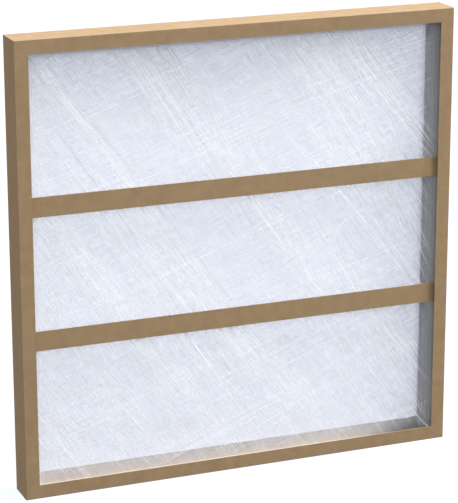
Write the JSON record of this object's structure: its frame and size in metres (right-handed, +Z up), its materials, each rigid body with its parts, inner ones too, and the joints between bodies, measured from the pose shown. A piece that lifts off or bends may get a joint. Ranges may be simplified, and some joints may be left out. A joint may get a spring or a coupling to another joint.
{
  "type": "fiberglass panel air filter",
  "caption": "Square throwaway panel air filter: a spun glass pad in a folded chipboard frame, held by two straps across its front.",
  "frame": {"origin": "middle of the edge that the filter stands on, on the surface under it", "axes": "+Z up the filter, +Y from its front face, where the straps show, to its rear face, +X to the right as seen from the front"},
  "size_m": [0.5968, 0.0444, 0.5969],
  "materials": {
    "chipboard": "matte brown kraft chipboard",
    "spun_glass": "loose white glass strands with a faint sheen"
  },
  "bodies": {
    "root": {"frame": "chipboard", "media_pad": "spun_glass", "strap_upper": "chipboard", "strap_lower": "chipboard"}
  },
  "joints": []
}
